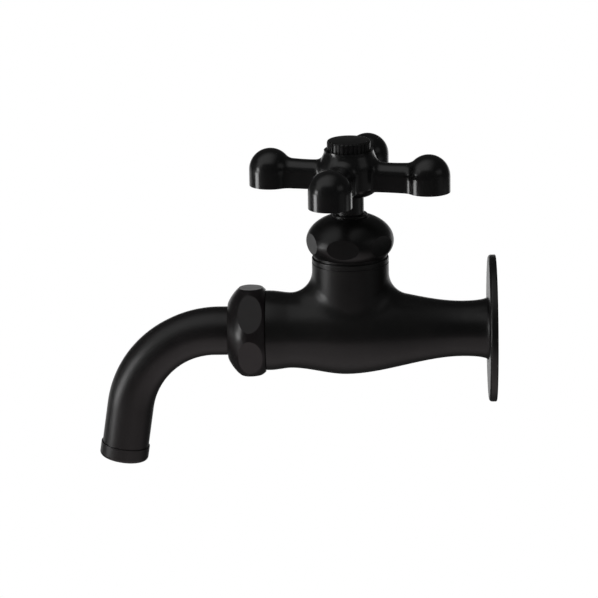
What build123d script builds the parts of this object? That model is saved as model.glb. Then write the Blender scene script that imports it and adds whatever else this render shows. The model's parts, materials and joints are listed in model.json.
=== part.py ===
from build123d import *
import math
import os

# Garden tap: a wall-mounted 13 mm screw-down tap with a cross handle and a swivelling spout.
# Millimetres, +Z up. The origin is the centre of the wall flange's back face on the inlet axis,
# +X points into the wall, and the tap reaches out along -X. The front is -Y.
# A distance is measured from the wall, so it is a place on -X.

# Clearances
RUN_GAP = 0.05
THREAD_GAP = 0.05
LOOSE_GAP = 0.15

# How near its place, and how tall, an edge is to be picked for a fillet
PICK_MARGIN = 1.0
PICK_HEIGHT = 2.0

# Wall flange
FLANGE_RADIUS = 24.5
FLANGE_THICKNESS = 2.6
FLANGE_FRONT_ROUND = 1.0
FLANGE_BACK_ROUND = 0.4

# Inlet, a G1/2 pipe thread
INLET_THREAD_RADIUS = 10.4775
INLET_THREAD_LENGTH = 11.5
INLET_RELIEF_RADIUS = 9.8
INLET_BORE_RADIUS = 6.5
INLET_COLLAR_RADIUS = 11.3
INLET_COLLAR_DEPTH = 0.8
INLET_CHAMFER = 1.0

# Body barrel, turned about the inlet axis
FLARE_RADIUS = 10.6
FLARE_LENGTH = 1.3
NECK_RADIUS = 9.25
NECK_DISTANCE = 11.3
BELLY_RADIUS = 14.87
BELLY_DISTANCE = 50.0
WAIST_RADIUS = 12.62
WAIST_DISTANCE = 68.4
SHOULDER_RADIUS = 13.3
SHOULDER_LENGTH = 1.6
SHOULDER_ROUND = 0.4
NUT_FACE_DISTANCE = 76.8

# Tower that carries the spindle, turned about the spindle axis
SPINDLE_DISTANCE = 48.28
TOWER_RADIUS = 12.75
TOWER_TOP = 25.4
TOWER_ROUND = 0.4
TOWER_BLEND = 8.0
GROOVE_BELOW_TOP = 1.95
GROOVE_WIDTH = 0.5
GROOVE_DEPTH = 0.2
TOWER_THREAD_RADIUS = 11.5
TOWER_THREAD_TOP = 31.0

# Water ways
SEAT_Z = 3.0
SEAT_BORE_RADIUS = 5.75
SEAT_RIM_RADIUS = 7.0
SEAT_RIM_HEIGHT = 1.0
LOWER_WAY_RADIUS = 4.4
LOWER_WAY_DROP = 4.1
INLET_BORE_END = 24.0
LOWER_WAY_START = 23.5
CHAMBER_RADIUS = 9.5
CHAMBER_TOP = 13.5
OUTLET_BORE_START = 62.0
UPPER_WAY_RADIUS = 4.5
UPPER_WAY_Z = 6.5

# Outlet thread and its packing
OUTLET_THREAD_WALL = 2.3
OUTLET_THREAD_LENGTH = 7.4
PACKING_POCKET_DEPTH = 5.0
U_PACKING_WIDTH = 2.45
U_PACKING_LENGTH = 3.6
U_PACKING_LIP = 1.4
U_PACKING_GROOVE_DEPTH = 1.8

# Union nut
NUT_LENGTH = 12.5
NUT_FLATS = 29.0
NUT_FLAT_TURN = 7.5
NUT_CREST_RADIUS = 16.0
NUT_CREST_PLACE = 5.3
NUT_FACE_PULL = 2.2
NUT_FACE_LAND = 0.85
NUT_END_LAND = 1.25
NUT_DOME_START_PULL = 3.0
NUT_DOME_END_PULL = 3.05
NUT_DOME_END_SLOPE = 67.0
NUT_SHOULDER_THICKNESS = 3.0

# Spout tube
TUBE_RADIUS = 8.1
TUBE_WALL = 1.0
TUBE_INNER_END = 79.6
BEND_START = 93.0
BEND_RADIUS = 30.2
BEND_ANGLE = 81.0
NECKING_ANGLE = 25.0
NECKING = 0.3
STRAIGHT_LENGTH = 13.9
RING_GROOVE_DEPTH = 0.5
RETAINING_RING_WIDTH = 1.6
RETAINING_RING_PROUD = 2.6
RETAINING_RING_SPLIT = 1.6

# Spout end
END_RING_PROUD = 0.4
END_RING_LENGTH = 4.8
END_RING_ROUND = 1.2
END_RING_SPIGOT = 5.0
END_RING_SPIGOT_WALL = 0.8
END_RING_LIP_WIDTH = 0.8
END_RING_LIP_THICKNESS = 0.9
GRID_THICKNESS = 2.6
GRID_CELL_FLATS = 1.6
GRID_WEB = 0.5
GRID_RINGS = 2
END_WASHER_THICKNESS = 1.0
END_WASHER_WIDTH = 1.5

# Bonnet washer and nut
BONNET_WASHER_THICKNESS = 0.9
BONNET_WASHER_RADIUS = 12.2
BONNET_CENTRE_Z = 30.9
BONNET_RADIUS = 14.52
BONNET_RISE = 9.3
BONNET_DROP = 8.8
BONNET_FLATS = 27.0
BONNET_FLAT_TURN = -9.5
BONNET_SHOULDER_Z = 39.15
COLLAR_RADIUS = 5.9
COLLAR_TOP_Z = 40.1
COLLAR_ROUND = 0.35

# Packing round the spindle
PACKING_SEAT_THICKNESS = 1.6
PACKING_SEAT_RADIUS = 11.2
PACKING_SEAT_SPIGOT = 1.2
SPINDLE_PACKING_HEIGHT = 3.4
SPINDLE_PACKING_BASE_RADIUS = 9.2
SPINDLE_PACKING_TOP_RADIUS = 6.6

# Spindle
SPINDLE_THREAD_RADIUS = 7.4
SPINDLE_THREAD_BOTTOM = 7.6
SPINDLE_THREAD_TOP = 23.5
SPINDLE_SHAFT_RADIUS = 4.7
SPINDLE_SPLINE_RADIUS = 4.0
SPINDLE_SHOULDER_Z = 47.6
SPINDLE_TOP_Z = 60.2
TOWER_COUNTERBORE_RADIUS = 9.0
TOWER_COUNTERBORE_BOTTOM = 25.0

# Jumper: the loose valve that closes the seat
JUMPER_WASHER_THICKNESS = 2.4
JUMPER_WASHER_RADIUS = 7.1
JUMPER_DISC_THICKNESS = 2.0
JUMPER_DISC_RADIUS = 7.4
JUMPER_STEM_RADIUS = 2.7
JUMPER_STEM_LENGTH = 9.0
JUMPER_STUD_RADIUS = 1.5
JUMPER_NUT_FLATS = 5.5
JUMPER_NUT_THICKNESS = 2.4
JUMPER_STUD_BEYOND = 0.5

# Cross handle
HANDLE_TURN = -12.8
HANDLE_BOTTOM_Z = 48.6
HUB_BOTTOM_Z = 46.45
HUB_BOTTOM_RADIUS = 5.9
HUB_BOTTOM_PULL = 2.0
HUB_BELLY_Z = 50.0
HUB_BELLY_PULL = 1.6
HUB_RADIUS = 9.9
HUB_FLARE_Z = 55.4
HUB_FLARE_PULL = 2.6
HUB_RIM_RADIUS = 8.2
HUB_RIM_HEIGHT = 0.5
HUB_RIM_PULL = 1.2
HUB_TOP_Z = 61.7
KNOB_REACH = 26.75
KNOB_RADIUS = 7.12
KNOB_CENTRE_Z = 53.85
ARM_ROOT_HALF_WIDTH = 4.5
ARM_WAIST_HALF_WIDTH = 3.85
ARM_TIP_HALF_WIDTH = 4.3
ARM_WAIST_REACH = 14.0
ARM_COUNT = 4
HUB_BLEND = 3.2
KNOB_BLEND = 4.0

# Handle screw
CAP_RADIUS = 7.2
CAP_HEIGHT = 3.2
CAP_DOME = 0.2
CAP_FLUTES = 32
CAP_FLUTE_RADIUS = 0.4
CAP_EDGE_ROUND = 0.9
STUD_RADIUS = 2.0
STUD_LENGTH = 11.0
STUD_HOLE_CLEARANCE = 1.0

# Places worked out from the sizes above
JUMPER_DISC_Z = SEAT_Z + RUN_GAP + JUMPER_WASHER_THICKNESS
BONNET_BOTTOM_Z = TOWER_TOP + BONNET_WASHER_THICKNESS
PACKING_Z = TOWER_THREAD_TOP + PACKING_SEAT_THICKNESS
NUT_END_DISTANCE = NUT_FACE_DISTANCE + NUT_LENGTH
OUTLET_END = NUT_FACE_DISTANCE + OUTLET_THREAD_LENGTH
TUBE_BORE_RADIUS = TUBE_RADIUS - TUBE_WALL
TIP_RADIUS = TUBE_RADIUS - NECKING
TIP_BORE_RADIUS = TIP_RADIUS - TUBE_WALL
PACKING_POCKET_RADIUS = TUBE_RADIUS + RUN_GAP + U_PACKING_WIDTH
OUTLET_THREAD_RADIUS = PACKING_POCKET_RADIUS + OUTLET_THREAD_WALL
RETAINING_RING_RADIUS = TUBE_RADIUS + RETAINING_RING_PROUD
NUT_RING_POCKET_RADIUS = RETAINING_RING_RADIUS + 2 * LOOSE_GAP
NUT_FACE_RADIUS = OUTLET_THREAD_RADIUS + THREAD_GAP + NUT_FACE_LAND
NUT_END_RADIUS = TUBE_RADIUS + RUN_GAP + NUT_END_LAND
END_BORE_RADIUS = TIP_BORE_RADIUS - END_RING_SPIGOT_WALL
END_SEAT = END_RING_LENGTH - END_RING_LIP_THICKNESS


def at_spindle(z=0):
    return Pos(-SPINDLE_DISTANCE, 0, z)


def s_curve(start, end, along=0):
    """A curve that leaves and arrives along one direction, like a turned ogee: 0 for X, 1 for Y."""
    third = (end[along] - start[along]) / 3
    pull = Vector(third, 0) if along == 0 else Vector(0, third)
    return Bezier(start, Vector(start) + pull, Vector(end) - pull, end)


def rod(radius, bottom, top):
    upright = Cylinder(radius, top - bottom, align=(Align.CENTER, Align.CENTER, Align.MIN))
    return Pos(0, 0, bottom) * upright


def tube(outer, inner, bottom, top):
    return rod(outer, bottom, top) - rod(inner, bottom, top)


def hexagon(flats, bottom, top):
    bar = extrude(RegularPolygon(flats / 2, 6, major_radius=False), top - bottom)
    return Pos(0, 0, bottom) * bar


def along_inlet(shape):
    """Lays a shape that was turned about +Z along the inlet axis, so +Z becomes -X."""
    return Rot(0, -90, 0) * shape


def turned(lines, axis=Axis.Z):
    """Turns a closed outline, drawn as radius and height in the XZ plane."""
    return revolve(Plane.XZ * make_face(lines), axis)


def outline(*points):
    return Polyline(*points, close=True)


def blended(shape, radius, keep):
    """Fillets the edges that the test keeps."""
    edges = [edge for edge in shape.edges() if keep(edge)]
    return fillet(edges, radius)


def wall_flange():
    disc = rod(FLANGE_RADIUS, 0, FLANGE_THICKNESS)
    disc = fillet(disc.edges().group_by(Axis.Z)[-1], FLANGE_FRONT_ROUND)
    disc = fillet(disc.edges().group_by(Axis.Z)[0], FLANGE_BACK_ROUND)
    disc -= rod(INLET_THREAD_RADIUS + LOOSE_GAP, 0, FLANGE_THICKNESS)
    recess_bottom = FLANGE_THICKNESS - INLET_COLLAR_DEPTH
    disc -= rod(INLET_COLLAR_RADIUS + LOOSE_GAP, recess_bottom, FLANGE_THICKNESS)
    return along_inlet(disc)


def barrel():
    """The turned outside of the casting, from the flange to the union nut."""
    neck = (NECK_RADIUS, NECK_DISTANCE)
    belly = (BELLY_RADIUS, BELLY_DISTANCE)
    waist = (WAIST_RADIUS, WAIST_DISTANCE)
    shoulder_start = NUT_FACE_DISTANCE - SHOULDER_LENGTH
    flare = Bezier(
        (FLARE_RADIUS, FLANGE_THICKNESS), (NECK_RADIUS, FLANGE_THICKNESS + FLARE_LENGTH), neck
    )
    swell = s_curve(neck, belly, along=1)
    fall = s_curve(belly, waist, along=1)
    rise = s_curve(waist, (SHOULDER_RADIUS, shoulder_start), along=1)
    land = Line((SHOULDER_RADIUS, shoulder_start), (SHOULDER_RADIUS, NUT_FACE_DISTANCE - SHOULDER_ROUND))
    corner = Bezier(
        land @ 1,
        (SHOULDER_RADIUS, NUT_FACE_DISTANCE),
        (SHOULDER_RADIUS - SHOULDER_ROUND, NUT_FACE_DISTANCE),
    )
    end = Polyline(
        corner @ 1,
        (0, NUT_FACE_DISTANCE),
        (0, FLANGE_THICKNESS),
        (FLARE_RADIUS, FLANGE_THICKNESS),
    )
    seam_below = Rot(180, 0, 0)
    return seam_below * along_inlet(turned([flare, swell, fall, rise, land, corner, end]))


def inlet_end():
    """Male thread behind the flange and the collar that holds the flange to the wall."""
    thread = rod(INLET_THREAD_RADIUS, -INLET_THREAD_LENGTH, 0)
    thread = chamfer(thread.edges().group_by(Axis.Z)[0], INLET_CHAMFER)
    thread += rod(INLET_RELIEF_RADIUS, 0, FLANGE_THICKNESS)
    collar = rod(INLET_COLLAR_RADIUS, FLANGE_THICKNESS - INLET_COLLAR_DEPTH, FLANGE_THICKNESS)
    return along_inlet(thread + collar)


def tower():
    post = rod(TOWER_RADIUS, 0, TOWER_TOP)
    post = fillet(post.edges().group_by(Axis.Z)[-1], TOWER_ROUND)
    groove_z = TOWER_TOP - GROOVE_BELOW_TOP
    groove_floor = TOWER_RADIUS - GROOVE_DEPTH
    post -= tube(TOWER_RADIUS + GROOVE_DEPTH, groove_floor, groove_z, groove_z + GROOVE_WIDTH)
    return at_spindle() * post


def casting():
    """Barrel and tower with the rounded corner between them."""
    joined = barrel() + tower()

    def is_seam(edge):
        box = edge.bounding_box()
        centre = edge.center()
        near = math.hypot(centre.X + SPINDLE_DISTANCE, centre.Y) < TOWER_RADIUS + PICK_MARGIN
        low_enough = box.max.Z < BELLY_RADIUS + PICK_MARGIN
        return near and low_enough and box.min.Z > PICK_MARGIN and box.size.Z > PICK_HEIGHT

    return blended(joined, TOWER_BLEND, is_seam)


def seat_ways():
    """The upright ways on the spindle axis: seat bore, chamber, spindle thread and counterbore."""
    seat = rod(SEAT_BORE_RADIUS, -LOWER_WAY_DROP, SEAT_Z)
    chamber = rod(CHAMBER_RADIUS, SEAT_Z, CHAMBER_TOP)
    trench = tube(CHAMBER_RADIUS, SEAT_RIM_RADIUS, SEAT_Z - SEAT_RIM_HEIGHT, SEAT_Z)
    thread = rod(SPINDLE_THREAD_RADIUS + RUN_GAP, CHAMBER_TOP, TOWER_COUNTERBORE_BOTTOM)
    counterbore = rod(TOWER_COUNTERBORE_RADIUS, TOWER_COUNTERBORE_BOTTOM, TOWER_THREAD_TOP)
    return [at_spindle() * way for way in (seat, chamber, trench, thread, counterbore)]


def inlet_ways():
    """The inlet bore and the way from its end to below the seat."""
    bore = rod(INLET_BORE_RADIUS, -INLET_THREAD_LENGTH, INLET_BORE_END)
    lower = rod(LOWER_WAY_RADIUS, LOWER_WAY_START, SPINDLE_DISTANCE + LOWER_WAY_RADIUS)
    return [along_inlet(bore), Pos(0, 0, -LOWER_WAY_DROP) * along_inlet(lower)]


def outlet_ways():
    """The way from the chamber above the seat to the spout, with the pocket for its packing."""
    upper = rod(UPPER_WAY_RADIUS, SPINDLE_DISTANCE, OUTLET_BORE_START + TUBE_BORE_RADIUS)
    outlet = rod(TUBE_BORE_RADIUS, OUTLET_BORE_START, OUTLET_END)
    pocket = rod(PACKING_POCKET_RADIUS, OUTLET_END - PACKING_POCKET_DEPTH, OUTLET_END)
    return [Pos(0, 0, UPPER_WAY_Z) * along_inlet(upper), along_inlet(outlet), along_inlet(pocket)]


def valve_body():
    body = casting() + inlet_end()
    body += at_spindle() * rod(TOWER_THREAD_RADIUS, TOWER_TOP, TOWER_THREAD_TOP)
    body += along_inlet(rod(OUTLET_THREAD_RADIUS, NUT_FACE_DISTANCE, OUTLET_END))
    for way in inlet_ways() + seat_ways() + outlet_ways():
        body -= way
    return body


def bonnet_washer():
    return at_spindle() * tube(
        BONNET_WASHER_RADIUS, TOWER_THREAD_RADIUS + THREAD_GAP, TOWER_TOP, BONNET_BOTTOM_Z
    )


def oval_radius(height, rise, radius):
    """Radius of the bonnet's egg-shaped outside at a height above or below its widest place."""
    return radius * math.sqrt(1 - (height / rise) ** 2)


def bonnet_nut():
    bottom_drop = BONNET_CENTRE_Z - BONNET_BOTTOM_Z
    shoulder_rise = BONNET_SHOULDER_Z - BONNET_CENTRE_Z
    bottom_radius = oval_radius(bottom_drop, BONNET_DROP, BONNET_RADIUS)
    shoulder_radius = oval_radius(shoulder_rise, BONNET_RISE, BONNET_RADIUS)
    low_angle = math.degrees(math.asin(bottom_drop / BONNET_DROP))
    high_angle = math.degrees(math.asin(shoulder_rise / BONNET_RISE))
    middle = (0, BONNET_CENTRE_Z)
    lower = EllipticalCenterArc(
        middle, BONNET_RADIUS, BONNET_DROP, start_angle=-low_angle, arc_size=low_angle
    )
    upper = EllipticalCenterArc(
        middle, BONNET_RADIUS, BONNET_RISE, start_angle=0, arc_size=high_angle
    )
    rest = Polyline(
        (shoulder_radius, BONNET_SHOULDER_Z),
        (0, BONNET_SHOULDER_Z),
        (0, BONNET_BOTTOM_Z),
        (bottom_radius, BONNET_BOTTOM_Z),
    )
    onion = turned([lower, upper, rest])
    onion &= Rot(0, 0, BONNET_FLAT_TURN) * hexagon(BONNET_FLATS, BONNET_BOTTOM_Z, BONNET_SHOULDER_Z)
    collar = rod(COLLAR_RADIUS, BONNET_SHOULDER_Z, COLLAR_TOP_Z)
    collar = fillet(collar.edges().group_by(Axis.Z)[-1], COLLAR_ROUND)
    packing_top = PACKING_Z + SPINDLE_PACKING_HEIGHT + LOOSE_GAP
    cone = turned(
        outline(
            (0, PACKING_Z),
            (SPINDLE_PACKING_BASE_RADIUS + LOOSE_GAP, PACKING_Z),
            (SPINDLE_PACKING_TOP_RADIUS + LOOSE_GAP, packing_top),
            (0, packing_top),
        )
    )
    nut = onion + collar
    nut -= rod(TOWER_THREAD_RADIUS + THREAD_GAP, BONNET_BOTTOM_Z, PACKING_Z)
    nut -= cone
    nut -= rod(SPINDLE_SHAFT_RADIUS + RUN_GAP, PACKING_Z, COLLAR_TOP_Z)
    return at_spindle() * nut


def packing_seat():
    bore = SPINDLE_SHAFT_RADIUS + RUN_GAP
    seat = tube(PACKING_SEAT_RADIUS, bore, TOWER_THREAD_TOP, PACKING_Z)
    spigot_radius = TOWER_COUNTERBORE_RADIUS - THREAD_GAP
    seat += tube(spigot_radius, bore, TOWER_THREAD_TOP - PACKING_SEAT_SPIGOT, TOWER_THREAD_TOP)
    return at_spindle() * seat


def spindle_packing():
    bore = SPINDLE_SHAFT_RADIUS + RUN_GAP
    top = PACKING_Z + SPINDLE_PACKING_HEIGHT
    return at_spindle() * turned(
        outline(
            (bore, PACKING_Z),
            (SPINDLE_PACKING_BASE_RADIUS, PACKING_Z),
            (SPINDLE_PACKING_TOP_RADIUS, top),
            (bore, top),
        )
    )


def spindle():
    stem = rod(SPINDLE_THREAD_RADIUS, SPINDLE_THREAD_BOTTOM, SPINDLE_THREAD_TOP)
    stem += rod(SPINDLE_SHAFT_RADIUS, SPINDLE_THREAD_TOP, SPINDLE_SHOULDER_Z)
    stem += rod(SPINDLE_SPLINE_RADIUS, SPINDLE_SHOULDER_Z, SPINDLE_TOP_Z)
    jumper_hole_top = JUMPER_DISC_Z + JUMPER_DISC_THICKNESS + JUMPER_STEM_LENGTH + STUD_HOLE_CLEARANCE
    stem -= rod(JUMPER_STEM_RADIUS + RUN_GAP, SPINDLE_THREAD_BOTTOM, jumper_hole_top)
    stud_bottom = HUB_TOP_Z - STUD_LENGTH - STUD_HOLE_CLEARANCE
    stem -= rod(STUD_RADIUS + THREAD_GAP, stud_bottom, SPINDLE_TOP_Z)
    return at_spindle() * stem


def jumper_disc():
    disc_top = JUMPER_DISC_Z + JUMPER_DISC_THICKNESS
    disc = rod(JUMPER_DISC_RADIUS, JUMPER_DISC_Z, disc_top)
    disc += rod(JUMPER_STEM_RADIUS, disc_top, disc_top + JUMPER_STEM_LENGTH)
    stud_bottom = SEAT_Z + RUN_GAP - JUMPER_NUT_THICKNESS - JUMPER_STUD_BEYOND
    disc += rod(JUMPER_STUD_RADIUS, stud_bottom, JUMPER_DISC_Z)
    return at_spindle() * disc


def jumper_washer():
    bore = JUMPER_STUD_RADIUS + THREAD_GAP
    return at_spindle() * tube(JUMPER_WASHER_RADIUS, bore, SEAT_Z + RUN_GAP, JUMPER_DISC_Z)


def jumper_nut():
    top = SEAT_Z + RUN_GAP
    nut = hexagon(JUMPER_NUT_FLATS, top - JUMPER_NUT_THICKNESS, top)
    nut -= rod(JUMPER_STUD_RADIUS + THREAD_GAP, top - JUMPER_NUT_THICKNESS, top)
    return at_spindle() * nut


def handle_arm():
    """One arm along +X: level underside, rounded top, waisted in plan."""
    waist = (ARM_WAIST_REACH, ARM_WAIST_HALF_WIDTH)
    root = s_curve((0, ARM_ROOT_HALF_WIDTH), waist)
    tip = s_curve(waist, (KNOB_REACH, ARM_TIP_HALF_WIDTH))
    rest = Polyline(tip @ 1, (KNOB_REACH, 0), (0, 0), root @ 0)
    half = [root, tip, rest]
    plan = make_face(half)
    plan += mirror(plan, Plane.XZ)
    web = Pos(0, 0, HANDLE_BOTTOM_Z) * extrude(plan, KNOB_CENTRE_Z - HANDLE_BOTTOM_Z)
    ridge = Pos(0, 0, KNOB_CENTRE_Z) * revolve(make_face(half), Axis.X)
    return web + ridge


def handle_knob():
    """An acorn: a short cylinder with a dome on it."""
    dome = CenterArc((0, KNOB_CENTRE_Z), KNOB_RADIUS, 0, 90)
    rest = Polyline(dome @ 1, (0, HANDLE_BOTTOM_Z), (KNOB_RADIUS, HANDLE_BOTTOM_Z), dome @ 0)
    return Pos(KNOB_REACH, 0, 0) * turned([dome, rest])


def handle_hub():
    """The hub narrows to its rim above the arms and to a small boss below them."""
    rim_bottom = HUB_TOP_Z - HUB_RIM_HEIGHT
    low = (HUB_BOTTOM_RADIUS, HUB_BOTTOM_Z)
    belly = (HUB_RADIUS, HUB_BELLY_Z)
    flare = (HUB_RADIUS, HUB_FLARE_Z)
    rim = (HUB_RIM_RADIUS, rim_bottom)
    under = Bezier(
        low,
        (HUB_BOTTOM_RADIUS + HUB_BOTTOM_PULL, HUB_BOTTOM_Z),
        (HUB_RADIUS, HUB_BELLY_Z - HUB_BELLY_PULL),
        belly,
    )
    ogee = Bezier(
        flare,
        (HUB_RADIUS, HUB_FLARE_Z + HUB_FLARE_PULL),
        (HUB_RIM_RADIUS, rim_bottom - HUB_RIM_PULL),
        rim,
    )
    rest = Polyline(rim, (HUB_RIM_RADIUS, HUB_TOP_Z), (0, HUB_TOP_Z), (0, HUB_BOTTOM_Z), low)
    return turned([under, Line(belly, flare), ogee, rest])


def cross_handle():
    handle = handle_hub()
    for index in range(ARM_COUNT):
        turn = Rot(0, 0, index * 360 / ARM_COUNT)
        handle += turn * handle_arm() + turn * handle_knob()

    def at_hub(edge):
        """The corner where an arm leaves the hub, above its level underside."""
        centre = edge.center()
        place = math.hypot(centre.X, centre.Y)
        near = HUB_RADIUS - PICK_MARGIN < place < HUB_RADIUS + PICK_MARGIN
        return near and edge.bounding_box().size.Z > PICK_HEIGHT

    def at_knob(edge):
        """The corner where an arm meets its knob."""
        centre = edge.center()
        place = math.hypot(centre.X, centre.Y)
        near = KNOB_REACH - KNOB_RADIUS < place < KNOB_REACH - KNOB_RADIUS / 2
        return near and edge.bounding_box().size.Z > PICK_HEIGHT

    handle = blended(handle, HUB_BLEND, at_hub)
    handle = blended(handle, KNOB_BLEND, at_knob)
    handle -= rod(SPINDLE_SPLINE_RADIUS + THREAD_GAP, SPINDLE_SHOULDER_Z, SPINDLE_TOP_Z)
    handle -= rod(SPINDLE_SHAFT_RADIUS + THREAD_GAP, HUB_BOTTOM_Z, SPINDLE_SHOULDER_Z)
    handle -= rod(STUD_RADIUS + LOOSE_GAP, SPINDLE_TOP_Z, HUB_TOP_Z)
    return at_spindle() * Rot(0, 0, HANDLE_TURN) * handle


def handle_screw():
    """Knurled head with a rounded top and a stud that draws the handle onto the spindle."""
    head_top = HUB_TOP_Z + CAP_HEIGHT
    span = CAP_RADIUS - CAP_EDGE_ROUND
    dome_radius = (span**2 + CAP_DOME**2) / (2 * CAP_DOME)
    dome_angle = math.degrees(math.asin(span / dome_radius))
    dome_centre = (0, head_top + CAP_DOME - dome_radius)
    dome = CenterArc(dome_centre, dome_radius, 90 - dome_angle, dome_angle)
    edge = Bezier((CAP_RADIUS, head_top - CAP_EDGE_ROUND), (CAP_RADIUS, head_top), dome @ 0)
    rest = Polyline(dome @ 1, (0, HUB_TOP_Z), (CAP_RADIUS, HUB_TOP_Z), edge @ 0)
    head = turned([dome, edge, rest])
    flute = Pos(CAP_RADIUS, 0, 0) * rod(CAP_FLUTE_RADIUS, HUB_TOP_Z, head_top)
    for index in range(CAP_FLUTES):
        head -= Rot(0, 0, index * 360 / CAP_FLUTES) * flute
    return at_spindle() * (head + rod(STUD_RADIUS, HUB_TOP_Z - STUD_LENGTH, HUB_TOP_Z))


def union_nut():
    crest_distance = NUT_FACE_DISTANCE + NUT_CREST_PLACE
    face = (NUT_FACE_RADIUS, NUT_FACE_DISTANCE)
    crest = (NUT_CREST_RADIUS, crest_distance)
    end = (NUT_END_RADIUS, NUT_END_DISTANCE)
    slope = math.radians(NUT_DOME_END_SLOPE)
    to_crest = Bezier(face, (NUT_CREST_RADIUS, NUT_FACE_DISTANCE + NUT_FACE_PULL), crest)
    to_end = Bezier(
        crest,
        (NUT_CREST_RADIUS, crest_distance + NUT_DOME_START_PULL),
        (
            NUT_END_RADIUS + NUT_DOME_END_PULL * math.sin(slope),
            NUT_END_DISTANCE - NUT_DOME_END_PULL * math.cos(slope),
        ),
        end,
    )
    rest = Polyline(end, (0, NUT_END_DISTANCE), (0, NUT_FACE_DISTANCE), face)
    nut = turned([to_crest, to_end, rest])
    flats = hexagon(NUT_FLATS, NUT_FACE_DISTANCE, NUT_END_DISTANCE)
    flat_on_top = Rot(0, 0, 30)
    nut &= Rot(0, 0, NUT_FLAT_TURN) * flat_on_top * flats
    nut -= rod(OUTLET_THREAD_RADIUS + THREAD_GAP, NUT_FACE_DISTANCE, OUTLET_END)
    inner_shoulder = NUT_END_DISTANCE - NUT_SHOULDER_THICKNESS
    nut -= rod(NUT_RING_POCKET_RADIUS, OUTLET_END, inner_shoulder)
    nut -= rod(TUBE_RADIUS + RUN_GAP, inner_shoulder, NUT_END_DISTANCE)
    return along_inlet(nut)


def u_packing():
    """Rubber ring with an open groove towards the water."""
    pocket_floor = OUTLET_END - PACKING_POCKET_DEPTH
    end = OUTLET_END - (PACKING_POCKET_DEPTH - U_PACKING_LENGTH) / 2
    start = end - U_PACKING_LENGTH
    bore = TUBE_RADIUS + RUN_GAP
    ring = tube(PACKING_POCKET_RADIUS, bore, max(start, pocket_floor), end)
    middle = (PACKING_POCKET_RADIUS + bore) / 2
    half = (PACKING_POCKET_RADIUS - bore) / 2 - U_PACKING_LIP / 2
    ring -= tube(middle + half, middle - half, start, start + U_PACKING_GROOVE_DEPTH)
    return along_inlet(ring)


def ring_start():
    """Distance from the wall where the retaining ring begins, midway in its room."""
    room = NUT_END_DISTANCE - NUT_SHOULDER_THICKNESS - OUTLET_END
    return OUTLET_END + (room - RETAINING_RING_WIDTH) / 2


def retaining_ring():
    start = ring_start()
    groove_floor = TUBE_RADIUS - RING_GROOVE_DEPTH
    ring = tube(RETAINING_RING_RADIUS, groove_floor, start, start + RETAINING_RING_WIDTH)
    gap = Pos(RETAINING_RING_RADIUS, 0, start + RETAINING_RING_WIDTH / 2)
    ring -= gap * Box(2 * RETAINING_RING_RADIUS, RETAINING_RING_SPLIT, RETAINING_RING_WIDTH)
    return along_inlet(ring)


def spout_lines():
    """Middle line of the spout in four parts; the tube narrows in the second."""
    start = Line((-TUBE_INNER_END, 0), (-BEND_START, 0))
    necking = JernArc(start @ 1, start % 1, BEND_RADIUS, NECKING_ANGLE)
    bend = JernArc(necking @ 1, necking % 1, BEND_RADIUS, BEND_ANGLE - NECKING_ANGLE)
    end = Line(bend @ 1, bend @ 1 + (bend % 1) * STRAIGHT_LENGTH)
    return [Plane.XZ * line for line in (start, necking, bend, end)]


def across(line, place):
    """Plane square to a line: at its start for 0, at its end for 1."""
    return Plane(origin=line @ place, x_dir=(0, 1, 0), z_dir=line % place)


def spout_tip():
    """Place of the tube's end: its local +Z runs out of the spout."""
    return Location(across(spout_lines()[-1], 1))


def necked_bar(wide, narrow):
    """A round bar along the whole spout that narrows in the first part of the bend."""
    start, necking, bend, end = spout_lines()
    ends = [across(necking, 0) * Circle(wide), across(necking, 1) * Circle(narrow)]
    bar = sweep(across(start, 0) * Circle(wide), start)
    bar += sweep(ends, necking, multisection=True)
    return bar + sweep(across(bend, 0) * Circle(narrow), Wire([bend, end]))


def spout_pipe():
    pipe = necked_bar(TUBE_RADIUS, TIP_RADIUS) - necked_bar(TUBE_BORE_RADIUS, TIP_BORE_RADIUS)
    start = ring_start()
    groove_floor = TUBE_RADIUS - RING_GROOVE_DEPTH
    groove = tube(RETAINING_RING_RADIUS, groove_floor, start, start + RETAINING_RING_WIDTH)
    return pipe - along_inlet(groove)


def spout_end_ring():
    ring = rod(TIP_RADIUS + END_RING_PROUD, 0, END_RING_LENGTH)
    ring = fillet(ring.edges().group_by(Axis.Z)[-1], END_RING_ROUND)
    ring += rod(TIP_BORE_RADIUS, -END_RING_SPIGOT, 0)
    ring -= rod(END_BORE_RADIUS, -END_RING_SPIGOT, END_SEAT)
    ring -= rod(END_BORE_RADIUS - END_RING_LIP_WIDTH, END_SEAT, END_RING_LENGTH)
    return spout_tip() * ring


def flow_straightener():
    """A disc with a honeycomb of straight cells, one in the middle and rings of them round it."""
    bottom = END_SEAT - GRID_THICKNESS
    grid = rod(END_BORE_RADIUS, bottom, END_SEAT)
    cell = hexagon(GRID_CELL_FLATS, bottom, END_SEAT)
    pitch = GRID_CELL_FLATS + GRID_WEB
    row_step = pitch * math.sin(math.radians(60))
    for row in range(-GRID_RINGS, GRID_RINGS + 1):
        cells_in_row = 2 * GRID_RINGS + 1 - abs(row)
        for index in range(cells_in_row):
            across = (index - (cells_in_row - 1) / 2) * pitch
            grid -= Pos(row * row_step, across, 0) * cell
    return spout_tip() * grid


def straightener_washer():
    top = END_SEAT - GRID_THICKNESS
    inner = END_BORE_RADIUS - END_WASHER_WIDTH
    return spout_tip() * tube(END_BORE_RADIUS, inner, top - END_WASHER_THICKNESS, top)


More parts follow.
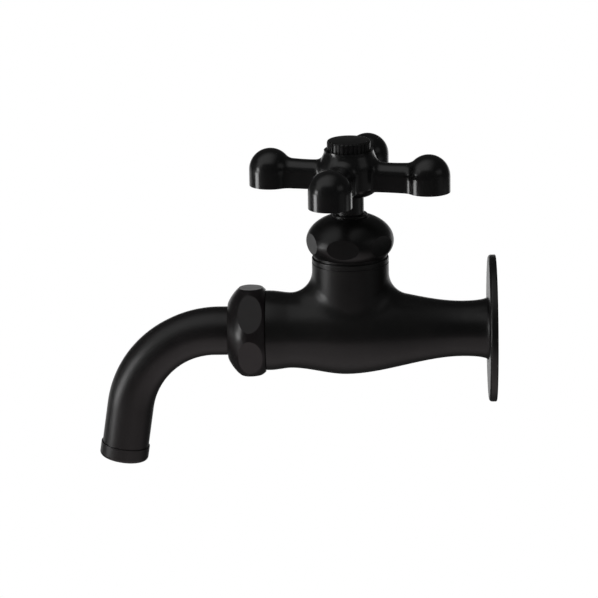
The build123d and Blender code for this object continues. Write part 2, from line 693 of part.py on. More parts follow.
PIECES = {
    "valve_body": valve_body,
    "wall_flange": wall_flange,
    "bonnet_washer": bonnet_washer,
    "bonnet_nut": bonnet_nut,
    "packing_seat": packing_seat,
    "spindle_packing": spindle_packing,
    "spindle": spindle,
    "jumper_disc": jumper_disc,
    "jumper_washer": jumper_washer,
    "jumper_nut": jumper_nut,
    "cross_handle": cross_handle,
    "handle_screw": handle_screw,
    "union_nut": union_nut,
    "u_packing": u_packing,
    "retaining_ring": retaining_ring,
    "spout_pipe": spout_pipe,
    "spout_end_ring": spout_end_ring,
    "flow_straightener": flow_straightener,
    "straightener_washer": straightener_washer,
}

os.makedirs("parts", exist_ok=True)
for name, make in PIECES.items():
    export_step(make(), f"parts/{name}.step")
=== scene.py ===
"""Dresses the garden tap: satin black coats, bare brass, rubber seals, cut pipe thread, and the studio.

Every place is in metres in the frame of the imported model: +X points into the wall, -Y is the front,
+Z is up, and the origin is the centre of the wall flange's back face. The tap reaches out along -X.
"""

import json
import logging
import math
from abc import ABC, abstractmethod
from dataclasses import dataclass, field
from enum import Enum
from typing import ClassVar

import bmesh
import bpy
from mathutils import Matrix, Vector

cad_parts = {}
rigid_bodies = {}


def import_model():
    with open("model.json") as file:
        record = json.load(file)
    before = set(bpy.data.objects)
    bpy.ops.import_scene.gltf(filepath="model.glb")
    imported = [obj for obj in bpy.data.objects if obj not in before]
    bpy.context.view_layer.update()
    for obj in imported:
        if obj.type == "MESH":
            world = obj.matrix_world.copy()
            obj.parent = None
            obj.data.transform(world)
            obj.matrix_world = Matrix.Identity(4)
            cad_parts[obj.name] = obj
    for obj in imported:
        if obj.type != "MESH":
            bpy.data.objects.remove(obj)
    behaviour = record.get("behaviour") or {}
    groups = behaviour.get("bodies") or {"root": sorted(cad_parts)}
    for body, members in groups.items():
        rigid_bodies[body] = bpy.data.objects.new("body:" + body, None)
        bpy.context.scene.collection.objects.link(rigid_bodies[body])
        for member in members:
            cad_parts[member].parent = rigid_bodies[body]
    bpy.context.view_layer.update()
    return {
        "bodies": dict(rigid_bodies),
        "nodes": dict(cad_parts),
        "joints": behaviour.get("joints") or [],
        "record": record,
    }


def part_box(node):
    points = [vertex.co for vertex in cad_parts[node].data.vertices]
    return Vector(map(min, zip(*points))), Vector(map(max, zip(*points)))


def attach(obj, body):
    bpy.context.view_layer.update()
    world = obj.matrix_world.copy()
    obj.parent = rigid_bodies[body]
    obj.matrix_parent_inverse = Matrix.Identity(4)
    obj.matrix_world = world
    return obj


log = logging.getLogger("garden_tap")

MM = 0.001
Colour = tuple[float, float, float]

# Plain noise stays mostly between these two values.
NOISE_LOW = 0.3
NOISE_HIGH = 0.7
# The wave texture turns through this many radians in one unit of its own scale.
WAVE_RADIANS = 20.0


class Body(Enum):
    """The bodies that move apart from each other."""

    TAP = "tap_body"
    JUMPER = "jumper"
    HANDLE = "handle"
    SPOUT = "spout"


class Slot(Enum):
    """The record's finishes, one for each way that a piece is coated or left bare."""

    BODY_COAT = "body_coat"
    NUT_COAT = "nut_coat"
    HANDLE_COAT = "handle_coat"
    SCREW_COAT = "screw_coat"
    STEM_COAT = "stem_coat"
    TUBE_COAT = "tube_coat"
    BRASS = "brass"
    RUBBER = "rubber"
    GRID_PLASTIC = "grid_plastic"


class TurningAxis(Enum):
    """How the axis lies that a brass piece was turned about, by the letter that shader nodes use."""

    LEVEL = "X"
    UPRIGHT = "Z"


class NodeWeb:
    """A material's shader nodes, with short ways to add them and to join them."""

    def __init__(self, name: str) -> None:
        """Starts an empty material that ends in one principled surface.

        Args:
            name: What the material is called.
        """
        self.material = bpy.data.materials.new(name)
        self.material.use_nodes = True
        self.tree = self.material.node_tree
        self.tree.nodes.clear()
        self.output = self.tree.nodes.new("ShaderNodeOutputMaterial")
        self.surface = self.tree.nodes.new("ShaderNodeBsdfPrincipled")
        self.join(self.surface.outputs["BSDF"], self.output.inputs["Surface"])

    def add(self, kind: str, **settings: object) -> bpy.types.Node:
        """Adds a node.

        Args:
            kind: The node's type, without its ShaderNode prefix.
            settings: Properties to set on the node.

        Returns:
            The new node.
        """
        node = self.tree.nodes.new("ShaderNode" + kind)
        for name, value in settings.items():
            setattr(node, name, value)
        return node

    def join(self, source: bpy.types.NodeSocket, target: bpy.types.NodeSocket) -> None:
        """Links an output to an input."""
        self.tree.links.new(source, target)

    def feed(self, name: str, source: bpy.types.NodeSocket) -> None:
        """Links an output to the surface's input of that name."""
        self.join(source, self.surface.inputs[name])

    def place(self) -> bpy.types.NodeSocket:
        """Gives the point on the piece, in metres, in the piece's own frame."""
        return self.add("TexCoord").outputs["Object"]

    def axes(self) -> bpy.types.Node:
        """Splits the point on the piece into its X, Y and Z.

        Returns:
            The node that has the three as its outputs, in metres.
        """
        node = self.add("SeparateXYZ")
        self.join(self.place(), node.inputs["Vector"])
        return node

    def noise(self, grain: float, detail: float = 2.0, rough: float = 0.5) -> bpy.types.NodeSocket:
        """Adds even noise.

        Args:
            grain: How large one lump of the noise is, in metres.
            detail: How many finer layers lie on it.
            rough: How strong the finer layers are.

        Returns:
            The noise, about 0 to 1.
        """
        node = self.add("TexNoise")
        self.join(self.place(), node.inputs["Vector"])
        node.inputs["Scale"].default_value = 1 / grain
        node.inputs["Detail"].default_value = detail
        node.inputs["Roughness"].default_value = rough
        return node.outputs["Fac"]

    def spread(
        self, source: bpy.types.NodeSocket, low: float = 0, high: float = 1
    ) -> bpy.types.NodeSocket:
        """Maps noise from its usual middle range to a range of values.

        Args:
            source: The noise.
            low: The value where the noise is low.
            high: The value where the noise is high.

        Returns:
            The mapped value.
        """
        node = self.add("MapRange")
        self.join(source, node.inputs["Value"])
        node.inputs["From Min"].default_value = NOISE_LOW
        node.inputs["From Max"].default_value = NOISE_HIGH
        node.inputs["To Min"].default_value = low
        node.inputs["To Max"].default_value = high
        return node.outputs["Result"]

    def step(
        self,
        source: bpy.types.NodeSocket,
        start: float,
        end: float,
        low: float = 0,
        high: float = 1,
    ) -> bpy.types.NodeSocket:
        """Changes from one value to another, smoothly, over a stretch of the source.

        Args:
            source: What is measured.
            start: Where the change starts.
            end: Where the change ends.
            low: The value up to the start.
            high: The value from the end on.

        Returns:
            The value.
        """
        node = self.add("MapRange", interpolation_type="SMOOTHSTEP")
        self.join(source, node.inputs["Value"])
        node.inputs["From Min"].default_value = start
        node.inputs["From Max"].default_value = end
        node.inputs["To Min"].default_value = low
        node.inputs["To Max"].default_value = high
        return node.outputs["Result"]

    def mixed(
        self, share: bpy.types.NodeSocket, low: Colour, high: Colour
    ) -> bpy.types.NodeSocket:
        """Mixes two colours.

        Args:
            share: How much of the second colour there is, 0 to 1.
            low: The first colour.
            high: The second colour.

        Returns:
            The mixed colour.
        """
        node = self.add("Mix", data_type="RGBA")
        self.join(share, node.inputs["Factor"])
        node.inputs["A"].default_value = (*low, 1)
        node.inputs["B"].default_value = (*high, 1)
        return node.outputs["Result"]

    def overlay(self, name: str, share: bpy.types.NodeSocket, top: bpy.types.NodeSocket) -> None:
        """Covers what already feeds one of the surface's inputs.

        Args:
            name: The input.
            share: How much the cover hides, 0 to 1.
            top: What covers it.
        """
        target = self.surface.inputs[name]
        below = target.links[0].from_socket
        node = self.add("Mix", data_type="RGBA" if target.type == "RGBA" else "FLOAT")
        self.join(share, node.inputs["Factor"])
        self.join(below, node.inputs["A"])
        self.join(top, node.inputs["B"])
        self.join(node.outputs["Result"], target)

    def calculated(self, operation: str, *values: bpy.types.NodeSocket) -> bpy.types.NodeSocket:
        """Works out one number.

        Args:
            operation: The sum to do, as the Math node names it.
            values: What goes in.

        Returns:
            The number.
        """
        node = self.add("Math", operation=operation)
        for index, value in enumerate(values):
            self.join(value, node.inputs[index])
        return node.outputs[0]

    def bump(self, *layers: tuple[bpy.types.NodeSocket, float]) -> None:
        """Raises the surface by one or more height layers.

        Args:
            layers: Each layer's height, 0 to 1, and how deep it is in metres.
        """
        below = None
        for height, depth in layers:
            node = self.add("Bump")
            node.inputs["Strength"].default_value = 1
            node.inputs["Distance"].default_value = depth
            self.join(height, node.inputs["Height"])
            if below is not None:
                self.join(below, node.inputs["Normal"])
            below = node.outputs["Normal"]
        self.feed("Normal", below)

    def set(self, **values: float) -> None:
        """Sets the surface's values that are the same all over; underscores stand for spaces."""
        for name, value in values.items():
            self.surface.inputs[name.replace("_", " ")].default_value = value


class Finish(ABC):
    """How a surface is finished. One finish makes one material and keeps it."""

    name: str
    made: ClassVar[dict[str, bpy.types.Material]] = {}

    @abstractmethod
    def weave(self, web: NodeWeb) -> None:
        """Fills the material's nodes.

        Args:
            web: The nodes of the finish's material.
        """

    def material(self) -> bpy.types.Material:
        """Gives the finish's material, which the first call makes.

        Returns:
            The material.
        """
        if self.name not in Finish.made:
            web = NodeWeb(self.name)
            self.weave(web)
            Finish.made[self.name] = web.material
        return Finish.made[self.name]

    def dress(self, piece: bpy.types.Object) -> None:
        """Puts the finish on a whole piece.

        Args:
            piece: The object to cover.
        """
        materials = piece.data.materials
        if not materials:
            materials.append(None)
        for index in range(len(materials)):
            materials[index] = self.material()


@dataclass(frozen=True)
class SatinCoat(Finish):
    """Baked satin black enamel over brass: fine grain, faint orange peel and uneven gloss."""

    name: str
    colour: Colour = (0.0017, 0.0017, 0.0018)
    haze: Colour = (0.0027, 0.0026, 0.0025)
    haze_cloud: float = 12 * MM
    roughness: float = 0.4
    unevenness: float = 0.05
    uneven_spot: float = 4 * MM
    gloss: float = 0.16
    gloss_share: float = 0.45
    density: float = 1.42
    peel: float = 1.6 * MM
    peel_depth: float = 0.006 * MM
    grain: float = 0.28 * MM
    grain_depth: float = 0.0016 * MM

    def weave(self, web: NodeWeb) -> None:
        """Fills the material's nodes.

        Args:
            web: The nodes of the finish's material.
        """
        cloud = web.spread(web.noise(self.haze_cloud, detail=3))
        web.feed("Base Color", web.mixed(cloud, self.colour, self.haze))
        spots = web.noise(self.uneven_spot, detail=4, rough=0.6)
        smooth, dull = self.roughness - self.unevenness, self.roughness + self.unevenness
        web.feed("Roughness", web.spread(spots, smooth, dull))
        peel = web.noise(self.peel, detail=1)
        grain = web.noise(self.grain)
        web.bump((peel, self.peel_depth), (grain, self.grain_depth))
        web.set(IOR=self.density, Coat_Weight=self.gloss_share, Coat_Roughness=self.gloss)


@dataclass(frozen=True)
class BareBrass(Finish):
    """Machined brass, with shallow turning waves along one axis and a little tarnish."""

    name: str
    axis: TurningAxis = TurningAxis.LEVEL
    colour: Colour = (0.72, 0.46, 0.16)
    tarnish: Colour = (0.42, 0.26, 0.1)
    tarnish_cloud: float = 5 * MM
    sheen_range: tuple[float, float] = (0.22, 0.38)
    sheen_spot: float = 1.5 * MM
    wave_pitch: float = 2.2 * MM
    wave_depth: float = 0.006 * MM
    wave_waver: float = 1.5

    def stain(self, web: NodeWeb) -> bpy.types.NodeSocket:
        """Gives the metal's colour, tarnished in clouds."""
        cloud = web.spread(web.noise(self.tarnish_cloud, detail=5, rough=0.6))
        return web.mixed(cloud, self.colour, self.tarnish)

    def sheen(self, web: NodeWeb) -> bpy.types.NodeSocket:
        """Gives the metal's roughness."""
        return web.spread(web.noise(self.sheen_spot, detail=3), *self.sheen_range)

    def weave(self, web: NodeWeb) -> None:
        """Fills the material's nodes.

        Args:
            web: The nodes of the finish's material.
        """
        web.feed("Base Color", self.stain(web))
        web.feed("Roughness", self.sheen(web))
        waves = web.add("TexWave", wave_type="BANDS", bands_direction=self.axis.value)
        web.join(web.place(), waves.inputs["Vector"])
        waves.inputs["Scale"].default_value = math.tau / (WAVE_RADIANS * self.wave_pitch)
        waves.inputs["Distortion"].default_value = self.wave_waver
        web.bump((waves.outputs["Fac"], self.wave_depth))
        web.set(Metallic=1)


@dataclass(frozen=True)
class CastingCoat(SatinCoat):
    """The casting's enamel, with the brass left bare behind the wall flange and in the waterway."""

    brass: BareBrass = BareBrass("casting_brass")
    coat_end: float = 0.3 * MM
    waterway_radius: float = 6.8 * MM
    edge: float = 0.2 * MM

    def weave(self, web: NodeWeb) -> None:
        """Fills the material's nodes.

        Args:
            web: The nodes of the finish's material.
        """
        super().weave(web)
        bare = self.bareness(web)
        web.overlay("Base Color", bare, self.brass.stain(web))
        web.overlay("Roughness", bare, self.brass.sheen(web))
        web.feed("Metallic", bare)
        web.feed("Coat Weight", web.step(bare, 0, 1, low=self.gloss_share, high=0))

    def bareness(self, web: NodeWeb) -> bpy.types.NodeSocket:
        """Tells the bare brass from the coat.

        Args:
            web: The nodes of the finish's material.

        Returns:
            1 behind the flange and near the inlet's axis, and 0 elsewhere.
        """
        axes = web.axes()
        behind = web.step(axes.outputs["X"], self.coat_end, self.coat_end + self.edge)
        across = web.add("CombineXYZ")
        web.join(axes.outputs["Y"], across.inputs["Y"])
        web.join(axes.outputs["Z"], across.inputs["Z"])
        radius = web.add("VectorMath", operation="LENGTH")
        web.join(across.outputs["Vector"], radius.inputs[0])
        inner = self.waterway_radius
        inside = web.step(radius.outputs["Value"], inner, inner + self.edge, low=1, high=0)
        return web.calculated("MAXIMUM", behind, inside)


@dataclass(frozen=True)
class Rubber(Finish):
    """Moulded seal rubber: near black, dull, finely pitted."""

    name: str
    colour: Colour = (0.018, 0.018, 0.018)
    bloom: Colour = (0.035, 0.035, 0.034)
    bloom_cloud: float = 3 * MM
    sheen_range: tuple[float, float] = (0.55, 0.75)
    sheen_spot: float = 1 * MM
    pit: float = 0.4 * MM
    pit_depth: float = 0.01 * MM

    def weave(self, web: NodeWeb) -> None:
        """Fills the material's nodes.

        Args:
            web: The nodes of the finish's material.
        """
        bloom = web.spread(web.noise(self.bloom_cloud, detail=4))
        web.feed("Base Color", web.mixed(bloom, self.colour, self.bloom))
        web.feed("Roughness", web.spread(web.noise(self.sheen_spot), *self.sheen_range))
        web.bump((web.noise(self.pit, detail=3), self.pit_depth))


@dataclass(frozen=True)
class GridPlastic(Finish):
    """Moulded acetal of the spout's flow straightener: off-white, waxy, faintly marked by the mould."""

    name: str
    colour: Colour = (0.62, 0.62, 0.6)
    shade: Colour = (0.52, 0.52, 0.5)
    shade_cloud: float = 2 * MM
    sheen_range: tuple[float, float] = (0.32, 0.45)
    sheen_spot: float = 0.8 * MM
    mould_mark: float = 0.5 * MM
    mark_depth: float = 0.004 * MM
    milkiness: float = 0.15
    milk_depth: float = 1 * MM

    def weave(self, web: NodeWeb) -> None:
        """Fills the material's nodes.

        Args:
            web: The nodes of the finish's material.
        """
        cloud = web.spread(web.noise(self.shade_cloud, detail=3))
        web.feed("Base Color", web.mixed(cloud, self.colour, self.shade))
        web.feed("Roughness", web.spread(web.noise(self.sheen_spot), *self.sheen_range))
        web.bump((web.noise(self.mould_mark), self.mark_depth))
        web.set(Subsurface_Weight=self.milkiness, Subsurface_Scale=self.milk_depth)


TURNED_BRASS = BareBrass("turned_brass", axis=TurningAxis.UPRIGHT)
SEAL_RUBBER = Rubber("seal_rubber")


@dataclass
class SubAssembly(ABC):
    """A group of pieces that are built, dressed and reported together."""

    frame: dict
    pieces: list[bpy.types.Object] = field(default_factory=list, init=False)

    def cover(self, finish: Finish, *nodes: str) -> None:
        """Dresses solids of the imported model, which stay where they are.

        Args:
            finish: What they are covered with.
            nodes: The names of the solids.
        """
        for node in nodes:
            piece = self.frame["nodes"][node]
            finish.dress(piece)
            self.pieces.append(piece)

    def add(self, piece: bpy.types.Object, finish: Finish, body: Body, slot: Slot) -> None:
        """Takes in a new piece: dresses it and ties it to its body.

        Args:
            piece: The new object, in place.
            finish: What it is covered with.
            body: What it moves with.
            slot: Which of the record's finishes it takes; not used.
        """
        finish.dress(piece)
        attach(piece, body.value)
        self.pieces.append(piece)

    @abstractmethod
    def build(self) -> None:
        """Makes the pieces and dresses them."""

    def report(self) -> None:
        """Logs each piece with its size in millimetres."""
        for piece in self.pieces:
            size = " x ".join(f"{side / MM:.1f}" for side in piece.dimensions)
            log.info("%s: %s, %s mm", type(self).__name__, piece.name, size)


@dataclass
class PipeThread:
    """A parallel pipe thread as a helical ridge round a plain shank that lies along X."""

    name: str
    shank_radius: float
    start: float
    length: float
    pitch: float = 1.814 * MM
    height: float = 0.36 * MM
    crest_width: float = 0.35 * MM
    crest_round: float = 0.12 * MM
    crest_drop: float = 0.05 * MM
    foot_width: float = 0.1 * MM
    foot_height: float = 0.03 * MM
    root_gap: float = 0.08 * MM
    sink: float = 0.05 * MM
    steps: int = 72
    run_out: float = 0.6
    end_width: float = 0.4

    def section(self) -> list[tuple[float, float]]:
        """Gives the ridge's section, the same on both sides of its crest.

        Returns:
            Its corners, as places along the shank and heights over it.
        """
        half_crest = self.crest_width / 2
        half_root = (self.pitch - self.root_gap) / 2
        right = [
            (half_crest, self.height),
            (half_crest + self.crest_round, self.height - self.crest_drop),
            (half_root - self.foot_width, self.foot_height),
            (half_root, -self.sink),
        ]
        left = [(-along, height) for along, height in reversed(right)]
        return left + right

    def ring(self, mesh: bmesh.types.BMesh, turn: float, turns: float) -> list[bmesh.types.BMVert]:
        """Lays the section at one place of the helix, lower and narrower near the ridge's ends.

        Args:
            mesh: The mesh that takes the corners.
            turn: How many turns the place is from the ridge's start.
            turns: How many turns the whole ridge has.

        Returns:
            The corners.
        """
        angle = math.tau * turn
        nearness = min(1, turn / self.run_out, (turns - turn) / self.run_out)
        fade = math.sin(math.pi / 2 * max(nearness, 0))
        width = self.end_width + (1 - self.end_width) * fade
        middle = self.start + self.pitch / 2 + self.pitch * turn
        corners = []
        for along, height in self.section():
            radius = self.shank_radius - self.sink + (height + self.sink) * fade
            y, z = radius * math.cos(angle), radius * math.sin(angle)
            corners.append(mesh.verts.new((middle + along * width, y, z)))
        return corners

    def build(self) -> bpy.types.Object:
        """Winds the section round the shank, and lets it run out at both ends.

        Returns:
            The thread, as one mesh.
        """
        turns = (self.length - self.pitch) / self.pitch
        count = round(turns * self.steps)
        mesh = bmesh.new()
        rings = [self.ring(mesh, step / self.steps, turns) for step in range(count + 1)]
        for before, after in zip(rings, rings[1:]):
            for index in range(len(before)):
                beside = (index + 1) % len(before)
                mesh.faces.new((before[index], after[index], after[beside], before[beside]))
        mesh.faces.new(rings[0])
        mesh.faces.new(list(reversed(rings[-1])))
        bmesh.ops.recalc_face_normals(mesh, faces=mesh.faces)
        return finished_mesh(self.name, mesh)


def finished_mesh(name: str, mesh: bmesh.types.BMesh) -> bpy.types.Object:
    """Turns a built mesh into a smooth-shaded object in the scene.

    Args:
        name: What the object is called.
        mesh: The mesh, which is freed.

    Returns:
        The new object.
    """
    data = bpy.data.meshes.new(name)
    mesh.to_mesh(data)
    mesh.free()
    data.polygons.foreach_set("use_smooth", [True] * len(data.polygons))
    piece = bpy.data.objects.new(name, data)
    bpy.context.scene.collection.objects.link(piece)
    return piece


@dataclass
class ValveBody(SubAssembly):
    """The casting with its seat, the wall flange and the cut inlet thread."""

    flange_coat: SatinCoat = SatinCoat("flange_coat", roughness=0.42, gloss=0.26, gloss_share=0.4)
    casting_coat: CastingCoat = CastingCoat("casting_coat", roughness=0.42, gloss=0.26, gloss_share=0.4)
    thread_brass: BareBrass = BareBrass("thread_brass")
    thread_radius: float = 10.4775 * MM
    plain_end: float = 0.6 * MM

    def build(self) -> None:
        """Dresses the casting and the flange, and winds the thread behind the flange."""
        self.cover(self.casting_coat, "valve_body")
        self.cover(self.flange_coat, "wall_flange")
        _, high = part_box("valve_body")
        thread = PipeThread(
            "inlet_thread",
            shank_radius=self.thread_radius,
            start=self.plain_end,
            length=high.x - 2 * self.plain_end,
        )
        self.add(thread.build(), self.thread_brass, Body.TAP, Slot.BRASS)


@dataclass
class Bonnet(SubAssembly):
    """The domed packing nut on the tower with the washer under it and the seals inside."""

    coat: SatinCoat = SatinCoat(
        "bonnet_coat",
        colour=(0.0011, 0.0011, 0.0011),
        haze=(0.002, 0.0019, 0.0019),
        gloss=0.28,
        density=1.33,
    )
    brass: BareBrass = TURNED_BRASS
    rubber: Rubber = SEAL_RUBBER

    def build(self) -> None:
        """Dresses the nut, the washer and the packing."""
        self.cover(self.coat, "bonnet_nut", "bonnet_washer")
        self.cover(self.brass, "packing_seat")
        self.cover(self.rubber, "spindle_packing")


@dataclass
class Valve(SubAssembly):
    """The spindle and the loose jumper that closes the seat."""

    coat: SatinCoat = SatinCoat("stem_coat", gloss=0.26)
    brass: BareBrass = TURNED_BRASS
    rubber: Rubber = SEAL_RUBBER

    def build(self) -> None:
        """Dresses the spindle and the jumper's three pieces."""
        self.cover(self.coat, "spindle")
        self.cover(self.brass, "jumper_disc", "jumper_nut")
        self.cover(self.rubber, "jumper_washer")


@dataclass
class CrossHandle(SubAssembly):
    """The four-armed handle with its knurled screw."""

    coat: SatinCoat = SatinCoat(
        "handle_coat",
        colour=(0.0009, 0.0009, 0.001),
        haze=(0.0016, 0.0016, 0.0016),
        roughness=0.46,
        gloss=0.15,
        gloss_share=1.0,
        density=1.34,
    )
    screw_coat: SatinCoat = SatinCoat("screw_coat", haze=(0.0036, 0.0034, 0.0032), gloss=0.3)

    def build(self) -> None:
        """Dresses the handle and the screw."""
        self.cover(self.coat, "cross_handle")
        self.cover(self.screw_coat, "handle_screw")


@dataclass
class Spout(SubAssembly):
    """The bent tube with its union nut, its end ring and what sits inside them."""

    nut_coat: SatinCoat = SatinCoat(
        "nut_coat", colour=(0.0024, 0.0017, 0.0019), haze=(0.0036, 0.0027, 0.003), gloss=0.22
    )
    tube_coat: SatinCoat = SatinCoat(
        "tube_coat",
        colour=(0.0021, 0.0017, 0.0018),
        haze=(0.0031, 0.0026, 0.0027),
        roughness=0.44,
        gloss=0.34,
        gloss_share=0.6,
    )
    brass: BareBrass = BareBrass("spout_brass")
    rubber: Rubber = SEAL_RUBBER
    plastic: GridPlastic = GridPlastic("grid_plastic")

    def build(self) -> None:
        """Dresses the tube, the nut, the rings, the seals and the flow straightener."""
        self.cover(self.nut_coat, "union_nut")
        self.cover(self.tube_coat, "spout_pipe", "spout_end_ring")
        self.cover(self.brass, "retaining_ring")
        self.cover(self.rubber, "u_packing", "straightener_washer")
        self.cover(self.plastic, "flow_straightener")


@dataclass
class SoftPanel:
    """A softbox or bounce card: a glowing sheet with soft edges, which the camera doesn't see."""

    name: str
    place: Vector
    target: Vector
    width: float
    height: float
    brightness: float
    softness: tuple[float, float]
    tint: Colour = (1, 1, 1)

    def glow(self) -> bpy.types.Material:
        """Makes the panel's light, which fades over its soft edges and is clear to what is behind.

        Returns:
            The panel's material.
        """
        web = NodeWeb(self.name)
        axes = web.axes()
        strength = web.add("Value").outputs[0]
        strength.default_value = self.brightness
        for side, span, fade in zip("XY", (self.width, self.height), self.softness):
            away = web.calculated("ABSOLUTE", axes.outputs[side])
            edge = web.step(away, span / 2 - fade, span / 2, low=1, high=0)
            strength = web.calculated("MULTIPLY", strength, edge)
        emission = web.add("Emission")
        emission.inputs["Color"].default_value = (*self.tint, 1)
        web.join(strength, emission.inputs["Strength"])
        both = web.add("AddShader")
        web.join(emission.outputs["Emission"], both.inputs[0])
        web.join(web.add("BsdfTransparent").outputs["BSDF"], both.inputs[1])
        web.join(both.outputs["Shader"], web.output.inputs["Surface"])
        return web.material

    def build(self) -> bpy.types.Object:
        """Hangs the panel so that it faces its target.

        Returns:
            The panel.
        """
        half_width, half_height = self.width / 2, self.height / 2
        mesh = bmesh.new()
        signs = ((-1, -1), (1, -1), (1, 1), (-1, 1))
        mesh.faces.new([mesh.verts.new((x * half_width, y * half_height, 0)) for x, y in signs])
        panel = finished_mesh(self.name, mesh)
        panel.data.materials.append(self.glow())
        panel.location = self.place
        panel.rotation_mode = "QUATERNION"
        panel.rotation_quaternion = (self.target - self.place).to_track_quat("Z", "Y")
        panel.visible_camera = False
        panel.visible_shadow = False
        return panel


@dataclass
class FillLamp:
    """A large soft lamp that lights the colours and leaves the reflections to the panels."""

    name: str
    place: Vector
    target: Vector
    brightness: float
    size: float = 1.2

    def build(self) -> bpy.types.Object:
        """Hangs the lamp so that it faces its target.

        Returns:
            The lamp.
        """
        data = bpy.data.lights.new(self.name, "AREA")
        data.shape = "SQUARE"
        data.size = self.size
        data.energy = self.brightness * math.pi * self.size**2
        lamp = bpy.data.objects.new(self.name, data)
        lamp.location = self.place
        lamp.rotation_mode = "QUATERNION"
        lamp.rotation_quaternion = (self.target - self.place).to_track_quat("-Z", "Y")
        lamp.visible_camera = False
        lamp.visible_glossy = False
        bpy.context.scene.collection.objects.link(lamp)
        return lamp


@dataclass
class Studio:
    """A white floor with a wall behind the flange, soft panels round the tap and fill lamps."""

    floor_drop: float = 0.16
    floor_half: float = 2.5
    wall_half: float = 0.3
    centre: Vector = field(default_factory=lambda: Vector((-0.06, 0, 0.02)))
    warm: Colour = (1, 0.9, 0.91)
    dimness: float = 0.045

    def side_panels(self) -> list[SoftPanel]:
        """Gives the panels at the left and the right of the tap.

        The low card at the left makes the upright highlights on the knobs, and the one over it
        lights the spout's bend. The high ones show on the handle.

        Returns:
            The panels, not yet hung.
        """
        low_card = Vector((-0.44, -0.085, -0.034))
        high_card = Vector((-0.44, -0.14, 0.07))
        return [
            SoftPanel(
                "card_left",
                place=low_card,
                target=Vector((-0.05, 0, low_card.z)),
                width=0.18,
                height=0.084,
                brightness=6.5,
                softness=(0.05, 0.018),
            ),
            SoftPanel(
                "card_upper",
                place=high_card,
                target=high_card + Vector((1, 0, 0)),
                width=0.18,
                height=0.18,
                brightness=4.5,
                softness=(0.07, 0.07),
            ),
            SoftPanel(
                "high_left",
                place=Vector((-1.0, -0.35, 0.5)),
                target=self.centre,
                width=0.9,
                height=0.6,
                brightness=0.45,
                softness=(0.3, 0.25),
            ),
            SoftPanel(
                "high_right",
                place=Vector((0.85, -0.45, 0.5)),
                target=self.centre,
                width=0.9,
                height=0.6,
                brightness=0.25,
                softness=(0.3, 0.25),
            ),
            SoftPanel(
                "card_right",
                place=Vector((0.6, -0.3, -0.1)),
                target=self.centre,
                width=0.6,
                height=0.5,
                brightness=0.07,
                softness=(0.2, 0.2),
            ),
            SoftPanel(
                "wall_side",
                place=Vector((0.06, 0, 0)),
                target=self.centre,
                width=0.07,
                height=0.07,
                brightness=0.6,
                softness=(0.03, 0.03),
            ),
        ]

    def room_panels(self) -> list[SoftPanel]:
        """Gives the roof, the warm lit table and the two panels behind the tap.

        Returns:
            The panels, not yet hung.
        """
        up = Vector((0, 0, 1))
        roof = Vector((-0.43, -0.2, 0.6))
        table = Vector((-0.225, -0.2, -self.floor_drop))
        sweep = Vector((0.075, 0.8, -0.145))
        return [
            SoftPanel(
                "roof",
                place=roof,
                target=roof - up,
                width=1.5,
                height=1.1,
                brightness=0.48,
                softness=(0.5, 0.4),
            ),
            SoftPanel(
                "table_bounce",
                place=table,
                target=table + up,
                width=1.05,
                height=0.56,
                brightness=0.4,
                softness=(0.35, 0.12),
                tint=self.warm,
            ),
            SoftPanel(
                "back_left",
                place=Vector((-0.72, 0.72, -0.2)),
                target=self.centre,
                width=0.8,
                height=0.5,
                brightness=0.42,
                softness=(0.25, 0.2),
            ),
            SoftPanel(
                "back_sweep",
                place=sweep,
                target=Vector((sweep.x, 0, sweep.z)),
                width=1.55,
                height=0.61,
                brightness=0.8,
                softness=(0.5, 0.24),
            ),
        ]

    def lamps(self) -> list[FillLamp]:
        """Gives the lamps that light the colours: two in front, one behind and one under the tap.

        Returns:
            The lamps, not yet hung.
        """
        return [
            FillLamp("key_lamp", Vector((-0.7, -0.9, 0.8)), self.centre, brightness=2.5),
            FillLamp("fill_lamp", Vector((0.8, -0.9, 0.3)), self.centre, brightness=2.0),
            FillLamp("rear_lamp", Vector((-0.1, 1.2, 0.5)), self.centre, brightness=2.5),
            FillLamp("low_lamp", Vector((-0.1, -0.2, -1.1)), self.centre, brightness=1.5),
        ]

    def white(self) -> bpy.types.Material:
        """Makes the plain white of the floor and the wall, which is clear from behind.

        Returns:
            The material of both.
        """
        web = NodeWeb("stage_white")
        glow = web.add("Emission")
        glow.inputs["Strength"].default_value = 1
        clear = web.add("BsdfTransparent")
        mix = web.add("MixShader")
        web.join(web.add("NewGeometry").outputs["Backfacing"], mix.inputs["Fac"])
        web.join(glow.outputs["Emission"], mix.inputs[1])
        web.join(clear.outputs["BSDF"], mix.inputs[2])
        web.join(mix.outputs["Shader"], web.output.inputs["Surface"])
        return web.material

    def sheet(self, name: str, corners: list[Vector], white: bpy.types.Material) -> None:
        """Makes one flat sheet of the stage, which only the camera sees.

        Args:
            name: What it is called.
            corners: Its four corners, anticlockwise seen from its front.
            white: Its material.
        """
        mesh = bmesh.new()
        mesh.faces.new([mesh.verts.new(corner) for corner in corners])
        piece = finished_mesh(name, mesh)
        piece.data.materials.append(white)
        piece.visible_shadow = False
        piece.visible_diffuse = False
        piece.visible_glossy = False
        piece.visible_transmission = False

    def build(self) -> None:
        """Lays the floor, puts up the wall, hangs the panels and the lamps and fills the world."""
        far, wall, drop = self.floor_half, self.wall_half, -self.floor_drop
        floor = ((-far, -far), (far, -far), (far, far), (-far, far))
        front = ((-wall, drop), (-wall, wall), (wall, wall), (wall, drop))
        white = self.white()
        self.sheet("floor", [Vector((x, y, drop)) for x, y in floor], white)
        self.sheet("wall", [Vector((0, y, z)) for y, z in front], white)
        for light in (*self.side_panels(), *self.room_panels(), *self.lamps()):
            light.build()
            log.info("Studio: %s", light.name)
        self.fill_world()

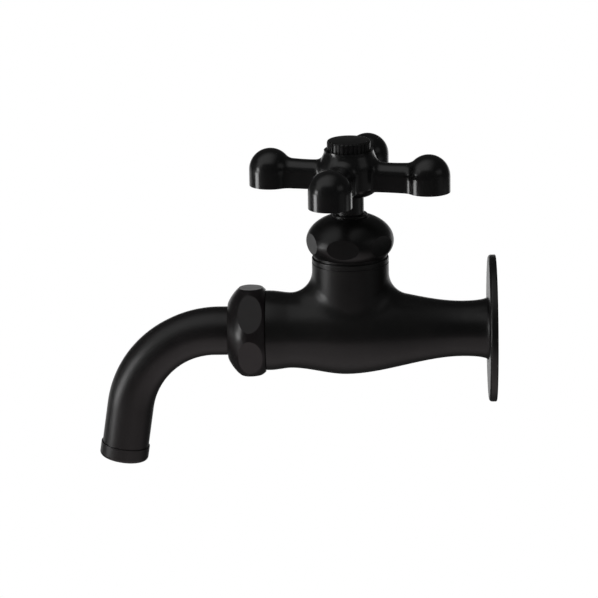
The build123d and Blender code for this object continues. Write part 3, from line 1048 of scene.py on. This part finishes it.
    def fill_world(self) -> None:
        """Makes the room white to the camera and a dim grey to everything else."""
        world = bpy.data.worlds.new("studio_room")
        world.use_nodes = True
        tree = world.node_tree
        tree.nodes.clear()
        output = tree.nodes.new("ShaderNodeOutputWorld")
        seen = tree.nodes.new("ShaderNodeBackground")
        seen.inputs["Color"].default_value = (1, 1, 1, 1)
        dim = tree.nodes.new("ShaderNodeBackground")
        dim.inputs["Strength"].default_value = self.dimness
        mix = tree.nodes.new("ShaderNodeMixShader")
        path = tree.nodes.new("ShaderNodeLightPath")
        tree.links.new(path.outputs["Is Camera Ray"], mix.inputs["Fac"])
        tree.links.new(dim.outputs["Background"], mix.inputs[1])
        tree.links.new(seen.outputs["Background"], mix.inputs[2])
        tree.links.new(mix.outputs["Shader"], output.inputs["Surface"])
        bpy.context.scene.world = world


@dataclass
class PortraitCamera:
    """The camera in front of the tap, which looks down on it a little and rolls slightly."""

    place: Vector = field(default_factory=lambda: Vector((-0.03458, -0.99477, 0.29861)))
    yaw: float = -1.783
    pitch: float = 16.133
    roll: float = -1.072
    lens: float = 187.35
    sensor: float = 36.0
    nearest: float = 0.05
    farthest: float = 20.0

    def turn(self) -> Matrix:
        """Works out how the camera is turned from its yaw, its pitch down and its roll.

        Returns:
            The rotation, with the camera's right, up and backward as its columns.
        """
        yaw, pitch, roll = (math.radians(angle) for angle in (self.yaw, self.pitch, self.roll))
        ahead = Vector(
            (math.sin(yaw) * math.cos(pitch), math.cos(yaw) * math.cos(pitch), -math.sin(pitch))
        )
        level = Vector((math.cos(yaw), -math.sin(yaw), 0))
        above = level.cross(ahead)
        right = level * math.cos(roll) + above * math.sin(roll)
        up = above * math.cos(roll) - level * math.sin(roll)
        return Matrix((right, up, -ahead)).transposed()

    def build(self) -> None:
        """Makes the camera, turns it and makes it the scene's own."""
        data = bpy.data.cameras.new("portrait")
        data.lens = self.lens
        data.sensor_width = self.sensor
        data.clip_start = self.nearest
        data.clip_end = self.farthest
        camera = bpy.data.objects.new("portrait", data)
        camera.matrix_world = Matrix.Translation(self.place) @ self.turn().to_4x4()
        bpy.context.scene.collection.objects.link(camera)
        bpy.context.scene.camera = camera
        log.info("PortraitCamera: %.1f mm lens", self.lens)


def main() -> None:
    """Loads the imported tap, dresses each sub-assembly in turn and sets up the studio."""
    logging.basicConfig(level=logging.INFO, format="%(message)s")
    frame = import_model()
    for part in (ValveBody, Bonnet, Valve, CrossHandle, Spout):
        assembly = part(frame)
        assembly.build()
        assembly.report()
    bpy.context.scene.view_settings.view_transform = "Standard"
    PortraitCamera().build()
    Studio().build()


if __name__ == "__main__":
    main()
